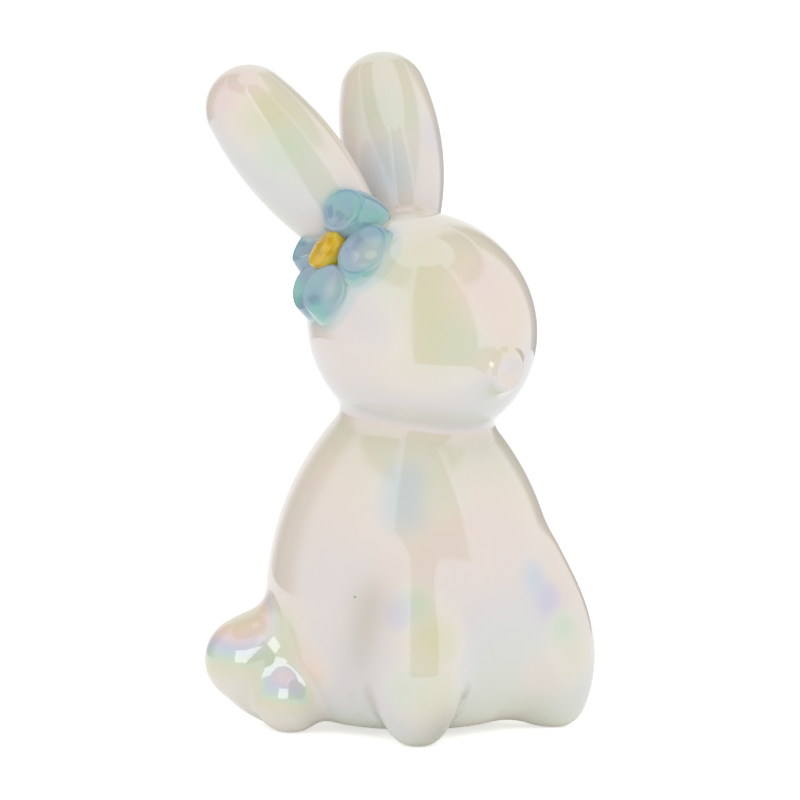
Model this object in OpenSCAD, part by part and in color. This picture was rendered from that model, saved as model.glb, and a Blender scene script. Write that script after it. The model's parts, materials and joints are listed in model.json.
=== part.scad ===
// Sitting easter bunny figurine, slip cast in earthenware, with a flower by its right ear.
// Every piece is a body of revolution with rounded ends, cast or pressed on its own, and
// joined to its neighbour with slip. The bunny looks along -Y and its right side is -X.
// Lengths are millimetres.

/* [Body casting] */
// Largest radius of the pear shaped body
belly_r = 55.5; // [48:0.5:64]
// Height of that largest radius above the table
belly_z = 47.5; // [42:0.5:54]
// Radius of the lower side, from the belly down to the base
haunch_r = 69.5; // [60:0.5:90]
// Radius of the rounded edge round the base
base_edge_r = 11; // [8:0.5:16]
// Gap between the base and the table, where the limbs lift the body
base_lift = 2; // [1:0.25:5]
// Radius of the neck ring that the head sits on
neck_r = 27; // [22:0.5:32]
// Height of the neck ring on the body's axis
neck_z = 120; // [112:0.5:128]
// Forward tilt of the neck ring, in degrees
neck_tilt = 7.5; // [0:0.5:12]
// Wall of the body casting
body_wall = 4; // [3:0.25:5]
// Hole in the base that the slip is drained from
drain_d = 10; // [8:0.5:14]
// Air hole pierced through the walls at each hollow joint
air_hole_d = 3; // [2:0.25:3.5]
// Layer of slip between two joined pieces
slip_gap = 0.15; // [0.1:0.05:0.3]
// Depth that the undersides are ground flat where they touch the table
foot_flat = 0.4; // [0.2:0.05:0.8]

/* [Front legs] */
// Turn of each front leg from straight ahead, in degrees
leg_turn = 40.5; // [34:0.5:48]
// Radius of the paw end
paw_r = 12.3; // [10.5:0.1:13.5]
// Distance of the paw's centre inside the belly's radius
paw_inset = 0.7; // [0:0.1:3]
// Height of the top end of the leg
leg_top_z = 62; // [54:0.5:68]
// Radius of the top end of the leg
leg_top_r = 4.5; // [3.5:0.1:6]
// Depth of the top end's centre below the body's surface
leg_top_sink = 4.5; // [3:0.1:6]
// Radius of the bulging side of the leg
leg_side_r = 51; // [46:0.5:70]

/* [Hind feet] */
// Turn of each hind foot from straight ahead, in degrees
foot_turn = 111; // [106:0.5:118]
// Radius of the hind foot
foot_r = 14; // [12.5:0.1:15.5]
// Distance of the foot's centre outside the body's surface
foot_out = 3.3; // [1:0.1:5]

/* [Haunches] */
// Turn of each haunch from straight ahead, in degrees
haunch_turn = 124; // [118:0.5:132]
// Distance of the tip's centre from the body's axis
haunch_reach = 63; // [58:0.5:66]
// Height of the tip's centre above the table
haunch_z = 26.5; // [24:0.25:29]
// Radius of the haunch's tip
haunch_tip_r = 16.6; // [15:0.1:18]
// Distance of the root's centre from the body's axis
haunch_root_reach = 45; // [42:0.5:48]
// Height of the root's centre above the table
haunch_root_z = 32.5; // [30:0.25:35]
// Radius of the haunch's root
haunch_root_r = 17.4; // [16:0.1:19]
// Radius of the bulging side of the haunch
haunch_side_r = 100; // [60:5:200]

/* [Tail] */
// Radius of the round tail
tail_r = 15; // [13:0.1:17]
// Distance of the tail's centre outside the body's surface
tail_out = 9; // [6:0.25:11]

/* [Head casting] */
// Half length of the egg shaped head, crown to chin
head_half_len = 46.5; // [44:0.5:50]
// Half width of the head
head_half_w = 42.6; // [40:0.1:43.5]
// Radius of the head's two ends
head_end_r = 38.8; // [37:0.1:39.6]
// Downward pitch of the head's long axis, in degrees
head_pitch = 26.5; // [18:0.5:34]
// Distance of the head's centre in front of the neck ring's centre line
head_forward = 1.5; // [0:0.25:4]
// Wall of the head casting
head_wall = 4; // [3:0.25:5]

/* [Nose stub] */
// Radius of the nose stub
nose_r = 7.7; // [6.5:0.1:9]
// Height of the stub above the head's surface
nose_proud = 4.5; // [3:0.25:7]
// Drop of the stub's seat below the head's centre, as an angle in degrees
nose_drop = 16; // [10:0.5:22]
// Downward pitch of the stub, in degrees
nose_pitch = 6; // [0:0.5:16]
// Rounding of the stub's rim
nose_rim_r = 2; // [1:0.1:2.6]
// Depth of the dished end
nose_dish_deep = 1.2; // [0.6:0.1:1.6]

/* [Ears] */
// Angle of each ear's root out from the middle plane, seen from the front, in degrees
ear_root_out = 21.4; // [18:0.2:26]
// Angle of each ear's root back from upright, seen from the side, in degrees
ear_root_back = 35.2; // [28:0.2:42]
// Spread of each ear from upright, seen from the front, in degrees
ear_spread = 24.4; // [18:0.2:30]
// Lean of each ear back from upright, seen from the side, in degrees
ear_lean = 36.6; // [28:0.2:44]
// Distance from the root's centre to the tip's centre
ear_len = 66; // [56:0.5:76]
// Radius of the root end
ear_root_r = 10.7; // [9.5:0.1:12]
// Radius of the tip
ear_tip_r = 16.8; // [15:0.1:18.5]
// Radius of the bulging side of the ear
ear_side_r = 122; // [100:1:160]
// Depth of the root's centre below the head's surface
ear_sink = 5.5; // [4:0.25:8]
// Wall of the ear casting
ear_wall = 3.5; // [2.75:0.25:4.5]

/* [Flower] */
// Height of the flower's centre above the head's middle, as an angle in degrees
flower_rise = 36.5; // [32:0.5:42]
// Turn of the flower's centre back from the bunny's right, in degrees
flower_turn = 23.5; // [18:0.5:30]
// Turn of the first petal round the flower's own centre, in degrees
first_petal_turn = 50; // [40:1:60]
// Radius of a petal's outline
petal_r = 12.5; // [11:0.1:14]
// Distance of a petal's centre from the flower's centre
petal_reach = 13.5; // [12:0.1:15]
// Height of a petal's rim above the head
petal_proud = 5; // [4:0.1:6.5]
// Rounding of a petal's rim
petal_rim_r = 2; // [1.2:0.1:2.5]
// Depth of the dish pressed into a petal
petal_dish_deep = 1.6; // [0.8:0.1:2.2]
// Lift of each petal's outer edge, in degrees
petal_cup = 12; // [6:0.5:18]
// Lift of the petal that leans on the ear, in degrees
ear_petal_cup = 28; // [18:0.5:34]
// Radius of the yellow centre
button_r = 8.9; // [7.5:0.1:10]
// Height of the centre's edge above the head
button_edge_h = 4; // [3:0.1:5]
// Height of the centre's dome above its edge
button_dome_h = 3; // [2:0.1:4]

/* [Hidden] */
$fn = 64;
right = -1;
left = 1;
glaze = [0.93, 0.91, 0.87];
petal_blue = [0.55, 0.72, 0.78];
centre_yellow = [0.95, 0.8, 0.25];
// Overrun of every cut past the surface that it starts from
over = 10;
// Body left standing above the neck ring's plane for that plane to cut away
top_spare = 1;
// Turn of one straight step along a rounded outline, in degrees
arc_step = 5;
// The body's side is one arc, upright at the belly and passing through the neck ring
neck_rise = neck_z - belly_z;
neck_narrowing = belly_r - neck_r;
flank_r = (neck_rise * neck_rise + neck_narrowing * neck_narrowing) / (2 * neck_narrowing);
neck_normal = [0, -sin(neck_tilt), cos(neck_tilt)];
neck_centre = [0, 0, neck_z];
// The head stands over the neck ring so high that its section there is the ring
head_axis = [0, -cos(head_pitch), -sin(head_pitch)];
head_axis_share = head_axis * neck_normal;
head_depth = sqrt(pow(head_half_len * head_axis_share, 2)
    + pow(head_half_w, 2) * (1 - pow(head_axis_share, 2)));
head_lift = head_depth * sqrt(1 - pow(neck_r / head_half_w, 2));
head_centre = neck_centre + head_lift * neck_normal + [0, -head_forward, 0];
head_end_at = head_half_len - head_end_r;
head_side_r = (head_half_w * head_half_w + head_end_at * head_end_at - head_end_r * head_end_r)
    / (2 * (head_half_w - head_end_r));
// The flower's own frame: outwards, down the head and towards the face
flower_out = [-cos(flower_rise) * cos(flower_turn), cos(flower_rise) * sin(flower_turn),
    sin(flower_rise)];
flower_down = [-sin(flower_rise) * cos(flower_turn), sin(flower_rise) * sin(flower_turn),
    -cos(flower_rise)];
flower_ahead = cross(flower_out, flower_down);
petal_share = 360 / 5;
// The origin lies under the middle of the outline, from the legs' fronts to the back of the
// tail or of the ears, whichever reaches further
leg_run = norm(leg_top(left) - leg_paw(left));
leg_mid = spindle_mid(leg_run, paw_r, leg_top_r, leg_side_r);
leg_bulge = leg_side_r - spindle_side_x(leg_mid, paw_r, leg_side_r);
leg_front = leg_bulge - (leg_paw(left) + leg_mid / leg_run * (leg_top(left) - leg_paw(left))).y;
tail_back = body_radius(tail_r - foot_flat) + tail_out + tail_r;
ear_back = ear_root(left).y + ear_len * ear_dir(left).y + ear_tip_r;
middle_y = (max(tail_back, ear_back) - leg_front) / 2;

function unit(v) = v / norm(v);

// A direction turned from straight ahead towards one side of the bunny
function heading(turn, side) = [side * sin(turn), -cos(turn), 0];

// Radius of the body's outside at a height
function body_radius(z) =
    let (r = z > belly_z ? flank_r : haunch_r)
    belly_r - r + sqrt(r * r - pow(z - belly_z, 2));

// Centres of a front leg's two round ends
function leg_paw(side) =
    (belly_r - paw_inset) * heading(leg_turn, side) + [0, 0, paw_r - foot_flat];

function leg_top(side) =
    (body_radius(leg_top_z) - leg_top_sink) * heading(leg_turn, side) + [0, 0, leg_top_z];

// Distance from the head's centre to its surface in a direction
function head_reach(dir) =
    let (along = abs(unit(dir) * head_axis), across = sqrt(max(0, 1 - along * along)))
    let (side_x = head_side_r - head_half_w)
    across * head_side_r * head_end_at < along * side_x * head_end_r
        ? head_end_at * along + sqrt(pow(head_end_r, 2) - pow(head_end_at * across, 2))
        : sqrt(pow(head_side_r, 2) - pow(side_x * along, 2)) - side_x * across;

// The direction at a lean from the flower's middle towards a turn round it
function flower_dir(lean, turn) =
    cos(lean) * flower_out + sin(lean) * (cos(turn) * flower_down + sin(turn) * flower_ahead);

function ear_dir(side) = unit([side * tan(ear_spread), tan(ear_lean), 1]);

function ear_root(side) =
    let (dir = unit([side * tan(ear_root_out), tan(ear_root_back), 1]))
    head_centre + (head_reach(dir) - ear_sink) * dir;

// A bulging piece's side arc: its centre's distance along the axis and across it
function spindle_mid(len, root_r, tip_r, side_r) =
    (len * len - pow(side_r - tip_r, 2) + pow(side_r - root_r, 2)) / (2 * len);

function spindle_side_x(mid, root_r, side_r) = sqrt(pow(side_r - root_r, 2) - mid * mid);

// Turns +Z to a direction and moves to a point
module place(at, dir) {
    translate(at) rotate([0, acos(unit(dir).z), atan2(dir.y, dir.x)]) children();
}

// Points along an arc, without its first or its last point where asked
function arc_points(at, r, from, to, skip_first = 0, skip_last = 0) =
    let (steps = ceil(abs(to - from) / arc_step))
    [for (i = [skip_first:steps - skip_last])
        let (a = from + (to - from) * i / steps)
        at + r * [cos(a), sin(a)]];

// Outline of a bulging piece with two round ends, the root's centre at the origin. The side is
// one arc that touches both ends, and an inset keeps every arc's centre.
module spindle_2d(len, root_r, tip_r, side_r, inset = 0) {
    mid = spindle_mid(len, root_r, tip_r, side_r);
    side_x = spindle_side_x(mid, root_r, side_r);
    from = atan2(-mid, side_x);
    to = atan2(len - mid, side_x);
    polygon(concat(
        arc_points([0, 0], root_r - inset, -90, from, skip_last = 1),
        arc_points([-side_x, mid], side_r - inset, from, to),
        arc_points([0, len], tip_r - inset, to, 90, skip_first = 1)));
}

// Half outline of the body: flat base, rounded base edge, haunch and flank, with a flat top
// that the neck ring's plane cuts away
module torso_2d(inset) {
    edge_z = base_lift + base_edge_r;
    haunch_x = belly_r - haunch_r;
    edge_x = haunch_x + sqrt(pow(haunch_r - base_edge_r, 2) - pow(belly_z - edge_z, 2));
    edge_a = atan2(edge_z - belly_z, edge_x - haunch_x);
    top_a = asin((neck_rise + neck_r * tan(neck_tilt) + top_spare) / flank_r);
    polygon(concat(
        [[0, base_lift + inset]],
        arc_points([edge_x, edge_z], base_edge_r - inset, -90, edge_a, skip_last = 1),
        arc_points([haunch_x, belly_z], haunch_r - inset, edge_a, 0),
        arc_points([belly_r - flank_r, belly_z], flank_r - inset, 0, top_a, skip_first = 1),
        [[0, belly_z + (flank_r - inset) * sin(top_a)]]));
}

module torso_solid(inset) {
    rotate_extrude() torso_2d(inset);
}

module head_solid(inset) {
    place(head_centre - head_end_at * head_axis, head_axis)
        rotate_extrude()
            spindle_2d(2 * head_end_at, head_end_r, head_end_r, head_side_r, inset);
}

module ear_solid(side, inset) {
    place(ear_root(side), ear_dir(side))
        rotate_extrude() spindle_2d(ear_len, ear_root_r, ear_tip_r, ear_side_r, inset);
}

module haunch_solid(side, grow) {
    tip = haunch_reach * heading(haunch_turn, side) + [0, 0, haunch_z];
    root = haunch_root_reach * heading(haunch_turn, side) + [0, 0, haunch_root_z];
    place(root, tip - root)
        rotate_extrude()
            spindle_2d(norm(tip - root), haunch_root_r, haunch_tip_r, haunch_side_r, -grow);
}

// Everything above a level measured up the neck ring's axis, or below it
module above_neck(rise) {
    place(neck_centre + rise * neck_normal, neck_normal) cylinder(h = 4 * belly_z, r = 2 * belly_r);
}

module below_neck(drop) {
    place(neck_centre - drop * neck_normal, -neck_normal) cylinder(h = 4 * belly_z, r = 2 * belly_r);
}

// Everything above the table
module above_table() {
    cylinder(h = 4 * belly_z, r = 4 * belly_r);
}

// A hole that lets the air out of a hollow piece into its neighbour while they dry
module air_hole(at, dir, back, ahead) {
    place(at - back * dir, dir) cylinder(h = back + ahead, d = air_hole_d);
}

module neck_air_hole() {
    air_hole(neck_centre, neck_normal, body_wall + over, head_wall + over);
}

module ear_air_hole(side) {
    air_hole(ear_root(side), ear_dir(side), head_wall + over, 2 * ear_sink + ear_wall);
}

// A short round piece with a rounded rim and a dished end, its end at z = 0
module pad(r, deep, rim_r, dish_deep) {
    dish_half = r - rim_r;
    dish_r = (dish_half * dish_half + dish_deep * dish_deep) / (2 * dish_deep);
    dish_a = asin(dish_half / dish_r);
    rotate_extrude() polygon(concat(
        [[0, -deep], [r, -deep]],
        arc_points([dish_half, -rim_r], rim_r, 0, 90),
        arc_points([0, dish_r - dish_deep], dish_r, dish_a - 90, -90, skip_first = 1)));
}

module front_leg(side) {
    intersection() {
        difference() {
            place(leg_paw(side), leg_top(side) - leg_paw(side))
                rotate_extrude() spindle_2d(leg_run, paw_r, leg_top_r, leg_side_r);
            torso_solid(-slip_gap);
        }
        above_table();
    }
}

module hind_foot(side) {
    foot_z = foot_r - foot_flat;
    intersection() {
        difference() {
            translate((body_radius(foot_z) + foot_out) * heading(foot_turn, side) + [0, 0, foot_z])
                sphere(foot_r);
            torso_solid(-slip_gap);
            haunch_solid(side, slip_gap);
        }
        above_table();
    }
}

module haunch(side) {
    difference() {
        haunch_solid(side, 0);
        torso_solid(-slip_gap);
    }
}

module ear(side) {
    difference() {
        ear_solid(side, 0);
        head_solid(-slip_gap);
        difference() {
            ear_solid(side, ear_wall);
            head_solid(-slip_gap - ear_wall);
        }
        ear_air_hole(side);
    }
}

module flower_button(gap) {
    place(head_centre, flower_out) cylinder(h = 2 * head_half_w, r = button_r + gap);
}

// The share of the flower that one petal may fill, as a wedge round the flower's middle
module petal_wedge(turn) {
    tip = slip_gap / 2 / sin(petal_share / 2);
    reach = 2 * (petal_reach + petal_r);
    place(head_centre, flower_out)
        rotate([0, 0, turn])
            translate([tip, 0, 0])
                linear_extrude(2 * head_half_w)
                    polygon([[0, 0],
                        for (a = [-petal_share / 2, 0, petal_share / 2]) reach * [cos(a), sin(a)]]);
}

module petal(number, cup) {
    turn = first_petal_turn + (number - 1) * petal_share;
    lean = petal_reach / head_half_w * 180 / PI;
    dir = flower_dir(lean, turn);
    color(petal_blue)
        translate([0, -middle_y, 0])
            intersection() {
                difference() {
                    place(head_centre + (head_reach(dir) + petal_proud) * dir,
                            flower_dir(lean - cup, turn))
                        pad(petal_r, petal_r + 2 * petal_proud, petal_rim_r, petal_dish_deep);
                    head_solid(-slip_gap);
                    ear_solid(right, -slip_gap);
                    flower_button(slip_gap);
                }
                petal_wedge(turn);
            }
}

module body_casting() {
    color(glaze)
        translate([0, -middle_y, 0])
            difference() {
                intersection() {
                    torso_solid(0);
                    below_neck(0);
                }
                intersection() {
                    torso_solid(body_wall);
                    below_neck(body_wall);
                }
                cylinder(h = base_lift + body_wall + over, d = drain_d);
                neck_air_hole();
            }
}

module front_leg_right() {
    color(glaze) translate([0, -middle_y, 0]) front_leg(right);
}

module front_leg_left() {
    color(glaze) translate([0, -middle_y, 0]) front_leg(left);
}

module hind_foot_right() {
    color(glaze) translate([0, -middle_y, 0]) hind_foot(right);
}

module hind_foot_left() {
    color(glaze) translate([0, -middle_y, 0]) hind_foot(left);
}

module haunch_right() {
    color(glaze) translate([0, -middle_y, 0]) haunch(right);
}

module haunch_left() {
    color(glaze) translate([0, -middle_y, 0]) haunch(left);
}

module tail() {
    color(glaze)
        translate([0, -middle_y, 0])
            intersection() {
                difference() {
                    translate([0, tail_back - tail_r, tail_r - foot_flat]) sphere(tail_r);
                    torso_solid(-slip_gap);
                }
                above_table();
            }
}

module head_casting() {
    color(glaze)
        translate([0, -middle_y, 0])
            difference() {
                intersection() {
                    head_solid(0);
                    above_neck(slip_gap);
                }
                intersection() {
                    head_solid(head_wall);
                    above_neck(slip_gap + head_wall);
                }
                neck_air_hole();
                ear_air_hole(right);
                ear_air_hole(left);
            }
}

module nose_stub() {
    seat = [0, -cos(nose_drop), -sin(nose_drop)];
    color(glaze)
        translate([0, -middle_y, 0])
            difference() {
                place(head_centre + (head_reach(seat) + nose_proud) * seat,
                        [0, -cos(nose_pitch), -sin(nose_pitch)])
                    pad(nose_r, nose_proud + over, nose_rim_r, nose_dish_deep);
                head_solid(-slip_gap);
            }
}

module ear_right() {
    color(glaze) translate([0, -middle_y, 0]) ear(right);
}

module ear_left() {
    color(glaze) translate([0, -middle_y, 0]) ear(left);
}

module petal_1() {
    petal(1, petal_cup);
}

module petal_2() {
    petal(2, petal_cup);
}

module petal_3() {
    petal(3, ear_petal_cup);
}

module petal_4() {
    petal(4, petal_cup);
}

module petal_5() {
    petal(5, petal_cup);
}

module flower_centre() {
    dome_r = (button_r * button_r + button_dome_h * button_dome_h) / (2 * button_dome_h);
    top = head_reach(flower_out) + button_edge_h + button_dome_h;
    color(centre_yellow)
        translate([0, -middle_y, 0])
            difference() {
                place(head_centre + top * flower_out, flower_out)
                    rotate_extrude() polygon(concat(
                        [[0, -button_r - over], [button_r, -button_r - over]],
                        arc_points([0, -dome_r], dome_r, acos(button_r / dome_r), 90)));
                head_solid(-slip_gap);
            }
}

body_casting();
front_leg_right();
front_leg_left();
hind_foot_right();
hind_foot_left();
haunch_right();
haunch_left();
tail();
head_casting();
nose_stub();
ear_right();
ear_left();
petal_1();
petal_2();
petal_3();
petal_4();
petal_5();
flower_centre();
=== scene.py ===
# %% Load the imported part
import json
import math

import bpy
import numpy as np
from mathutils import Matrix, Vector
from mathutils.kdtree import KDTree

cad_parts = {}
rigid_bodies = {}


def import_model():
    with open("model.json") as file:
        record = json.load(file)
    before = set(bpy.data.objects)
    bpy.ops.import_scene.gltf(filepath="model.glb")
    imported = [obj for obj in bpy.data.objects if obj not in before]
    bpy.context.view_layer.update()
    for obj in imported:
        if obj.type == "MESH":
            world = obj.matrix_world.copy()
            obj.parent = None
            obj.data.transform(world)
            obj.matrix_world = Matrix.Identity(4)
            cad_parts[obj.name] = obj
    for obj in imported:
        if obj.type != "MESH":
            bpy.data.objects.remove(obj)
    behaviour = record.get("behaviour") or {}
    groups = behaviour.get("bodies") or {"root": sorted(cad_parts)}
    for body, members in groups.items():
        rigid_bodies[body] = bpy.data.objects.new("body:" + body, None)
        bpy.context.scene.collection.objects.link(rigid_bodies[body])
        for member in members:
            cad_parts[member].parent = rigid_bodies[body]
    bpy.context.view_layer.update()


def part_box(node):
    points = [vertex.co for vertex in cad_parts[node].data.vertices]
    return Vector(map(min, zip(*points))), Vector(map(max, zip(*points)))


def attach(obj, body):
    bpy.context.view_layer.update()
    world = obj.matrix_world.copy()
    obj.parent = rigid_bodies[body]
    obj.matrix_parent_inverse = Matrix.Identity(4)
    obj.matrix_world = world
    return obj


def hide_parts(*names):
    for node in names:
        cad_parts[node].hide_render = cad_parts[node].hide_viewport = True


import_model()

# %% [markdown]
# A rabbit figurine in slip-cast earthenware. On the real object every piece is poured or pressed
# on its own, joined with wet clay, and then one pearl glaze runs over all the joints and
# softens them. So the plan has two halves. First the whole figure is described as one smooth
# skin in which the pieces melt together, then that skin is cut along the joints, which gives
# separate pieces whose glaze still runs on from one to the next.

body_low, body_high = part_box("body_casting")
axis_y = (body_low[1] + body_high[1]) / 2

# %% [markdown]
# The camera comes first, so that every later step can be looked at from the right place. It
# stands to the front and right of the rabbit, a little above it, and far away with a long
# lens, because product pictures flatten the perspective that way.

# %% Camera
CAMERA_TURN, CAMERA_RISE, CAMERA_AWAY, LENS_MM = -43, 7.4, 5.18367, 614.7
LOOK_AT_HEIGHT, LOOK_AT_LEFT = 0.1243, 0.00435


def towards(turn_deg, rise_deg):
    """The direction from the rabbit to something that stands round it: turn 0 is in front of it,
    and a negative turn is on its right side."""
    turn, rise = math.radians(turn_deg), math.radians(rise_deg)
    return Vector((math.sin(turn) * math.cos(rise), -math.cos(turn) * math.cos(rise), math.sin(rise)))


def aim(holder, spot, back):
    """Puts a camera or a lamp at a spot, so that it looks along the opposite of back."""
    holder.location = spot
    holder.rotation_mode = "QUATERNION"
    holder.rotation_quaternion = (-back).to_track_quat("-Z", "Y")
    bpy.context.scene.collection.objects.link(holder)


camera_back = towards(CAMERA_TURN, CAMERA_RISE)
camera_right = Vector((math.cos(math.radians(CAMERA_TURN)), math.sin(math.radians(CAMERA_TURN)), 0))
camera_target = Vector((0, axis_y, LOOK_AT_HEIGHT)) - LOOK_AT_LEFT * camera_right
camera_data = bpy.data.cameras.new("camera")
camera_data.sensor_width = 36
camera_data.lens = LENS_MM
camera_data.clip_end = 50
camera = bpy.data.objects.new("camera", camera_data)
aim(camera, camera_target + CAMERA_AWAY * camera_back, camera_back)
bpy.context.scene.camera = camera
print("camera at", [round(v, 3) for v in camera.location])

# %% [markdown]
# A distance field is a function that says how far a point is from a surface, and is negative
# inside it. Round forms have short, exact ones. Two fields are melted together by rounding
# the smaller of the two where they are nearly equal, which is just what a thick glaze does in
# a joint. Lengths are millimetres here, measured from the body's axis at the table.

# %% Fields for round forms
def unit(v):
    v = np.asarray(v, float)
    return v / np.linalg.norm(v)


def melt(a, b, width):
    near = np.maximum(width - np.abs(a - b), 0) / width
    return np.minimum(a, b) - near * near * width / 4


def melt_inner(a, b, width):
    return -melt(-a, -b, width)


def ball(p, centre, radius):
    return np.linalg.norm(p - centre, axis=-1) - radius


def along_and_across(p, root, axis):
    q = p - root
    along = q @ axis
    return along, np.sqrt(np.maximum((q * q).sum(-1) - along * along, 0))


def spindle(p, root, tip, root_r, tip_r, side_r):
    """A bulging piece with two round ends, its side one arc that touches both."""
    length = np.linalg.norm(tip - root)
    along, across = along_and_across(p, root, (tip - root) / length)
    mid = (length**2 - (side_r - tip_r) ** 2 + (side_r - root_r) ** 2) / (2 * length)
    side_x = math.sqrt((side_r - root_r) ** 2 - mid**2)
    angle = np.arctan2(along - mid, across + side_x)
    d = np.hypot(across + side_x, along - mid) - side_r
    d = np.where(angle > math.atan2(length - mid, side_x), np.hypot(across, along - length) - tip_r, d)
    return np.where(angle < math.atan2(-mid, side_x), np.hypot(across, along) - root_r, d)


def round_bar(p, start, end, start_r, end_r):
    run = end - start
    share = np.clip(((p - start) @ run) / (run @ run), 0, 1)
    away = np.linalg.norm(p - start - share[..., None] * run, axis=-1)
    return away - start_r - (end_r - start_r) * share


print("a unit ball's field at 3 mm:", ball(np.array([[3.0, 0, 0]]), np.zeros(3), 1.0))

# %% [markdown]
# The sizes are those of the part's source, in millimetres, piece by piece. The body is a pear:
# one arc above the belly, another below it, and a rounded base. Front legs, ears, haunches
# and head are spindles, the hind feet and the tail are balls. The places of the legs, feet and
# haunches are given as on a turntable: a turn away from the front, a reach from the body's
# axis and a height above the table. Under each haunch a low web of clay fills the corner that
# it makes with the body.

# %% Sizes of the body and the head
RIGHT, LEFT = -1, 1
BELLY_R, BELLY_Z, FLANK_R, RUMP_R, BASE_Z, BASE_EDGE = 55.5, 47.5, 106.0, 69.5, 2.0, 10
NECK_AT, NECK_UP = np.array([0, 0, 120.0]), unit([0, -0.1305, 0.9914])


def ahead_and_down(deg):
    return unit([0, -math.cos(math.radians(deg)), -math.sin(math.radians(deg))])


HEAD_AT, HEAD_AXIS = np.array([0, -5.9, 153.3]), ahead_and_down(26.5)
HEAD_HALF, HEAD_END_R, HEAD_SIDE_R = 7.7, 38.8, 48.5
NOSE_AT, NOSE_AXIS = np.array([0, -54.3, 139.8]), ahead_and_down(6)
NOSE_R, NOSE_HALF, NOSE_EDGE = 7.7, 12.0, 2.0
NOSE_DISH_R, NOSE_DISH_OUT, NOSE_LIP = 10.2, 9.2, 1.0
EAR_LEN, EAR_ROOT_R, EAR_TIP_R, EAR_SIDE_R = 66.2, 10.7, 16.8, 122.3


def ear_root(side):
    return HEAD_AT + np.array([side * 12.1, 21.75, 30.84])


def ear_tip(side):
    return ear_root(side) + EAR_LEN * unit([side * 0.454, 0.744, 1])


print("ear tips at", ear_tip(RIGHT).round(1), ear_tip(LEFT).round(1))

# %% Sizes of the legs, feet, haunches and tail
LEG_TURN, LEG_SIDE_R, LEG_PAW_R, LEG_TOP_R = 40.6, 51.1, 12.3, 4.5
LEG_PAW, LEG_TOP = (54.8, 11.9), (49.9, 62.1)
FOOT_TURN, FOOT, FOOT_R = 109.5, (50.1, 13.7), 14.0
HAUNCH_TURN, HAUNCH_SIDE_R, HAUNCH_IN_R, HAUNCH_OUT_R = 122.5, 100, 17.4, 16.6
HAUNCH_IN, HAUNCH_OUT = (45.2, 32.7), (63.0, 26.8)
WEB_FRONT, WEB_BACK = (41.8, 30.7, 8.2), (41.4, 46.8, 12.6)
WEB_FRONT_R, WEB_BACK_R, WEB_FILLET = 7.1, 7.5, 15
TAIL_AT, TAIL_R = np.array([0, 56.2, 14.6]), 15.0


def place(turn_deg, side, reach_and_height):
    a, (reach, height) = math.radians(turn_deg), reach_and_height
    return reach * np.array([side * math.sin(a), -math.cos(a), 0]) + [0, 0, height]


print("right paw at", place(LEG_TURN, RIGHT, LEG_PAW).round(1))

# %% One field for each piece
def torso_field(p):
    across, z = np.hypot(p[..., 0], p[..., 1]), p[..., 2]
    flank = np.hypot(across - (BELLY_R - FLANK_R), z - BELLY_Z) - FLANK_R
    rump = np.hypot(across - (BELLY_R - RUMP_R), z - BELLY_Z) - RUMP_R
    return melt_inner(np.where(z > BELLY_Z, flank, rump), BASE_Z - z, BASE_EDGE)


def head_field(p):
    half = HEAD_HALF * HEAD_AXIS
    return spindle(p, HEAD_AT - half, HEAD_AT + half, HEAD_END_R, HEAD_END_R, HEAD_SIDE_R)


def nose_field(p):
    along, across = along_and_across(p, NOSE_AT, NOSE_AXIS)
    side, end = across - (NOSE_R - NOSE_EDGE), np.abs(along + NOSE_HALF) - (NOSE_HALF - NOSE_EDGE)
    outside = np.hypot(np.maximum(side, 0), np.maximum(end, 0))
    return np.minimum(np.maximum(side, end), 0) + outside - NOSE_EDGE


def ear_field(p, side):
    return spindle(p, ear_root(side), ear_tip(side), EAR_ROOT_R, EAR_TIP_R, EAR_SIDE_R)


def leg_field(p, side):
    paw, top = place(LEG_TURN, side, LEG_PAW), place(LEG_TURN, side, LEG_TOP)
    return spindle(p, paw, top, LEG_PAW_R, LEG_TOP_R, LEG_SIDE_R)


def foot_field(p, side):
    return ball(p, place(FOOT_TURN, side, FOOT), FOOT_R)


def haunch_field(p, side):
    inner, outer = place(HAUNCH_TURN, side, HAUNCH_IN), place(HAUNCH_TURN, side, HAUNCH_OUT)
    lobe = spindle(p, inner, outer, HAUNCH_IN_R, HAUNCH_OUT_R, HAUNCH_SIDE_R)
    mirror = np.array([side, 1, 1])
    web = round_bar(p, mirror * WEB_FRONT, mirror * WEB_BACK, WEB_FRONT_R, WEB_BACK_R)
    return melt(lobe, web, WEB_FILLET)


PIECES = {
    "body_casting": torso_field,
    "front_leg_right": lambda p: leg_field(p, RIGHT),
    "front_leg_left": lambda p: leg_field(p, LEFT),
    "hind_foot_right": lambda p: foot_field(p, RIGHT),
    "hind_foot_left": lambda p: foot_field(p, LEFT),
    "haunch_right": lambda p: haunch_field(p, RIGHT),
    "haunch_left": lambda p: haunch_field(p, LEFT),
    "tail": lambda p: ball(p, TAIL_AT, TAIL_R),
    "head_casting": head_field,
    "nose_stub": nose_field,
    "ear_right": lambda p: ear_field(p, RIGHT),
    "ear_left": lambda p: ear_field(p, LEFT),
}
print(len(PIECES), "glazed pieces beside the flower")

# %% [markdown]
# Melting the fields gives the skin of the whole figure. The width of each melt is the fillet
# that the glaze leaves in that joint: wide where a leg grows out of the body, narrow at the
# ears. Last, the table cuts the undersides flat, as a potter wipes and grinds them.

# %% The skin of the whole figure
LEG_FILLET, HAUNCH_FILLET, FOOT_FILLET = 15.9, 6.8, 5.5
NOSE_FILLET, EAR_FILLET, NECK_FILLET, WIPED_EDGE = 7.3, 4.2, 7.3, 1.2


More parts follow.
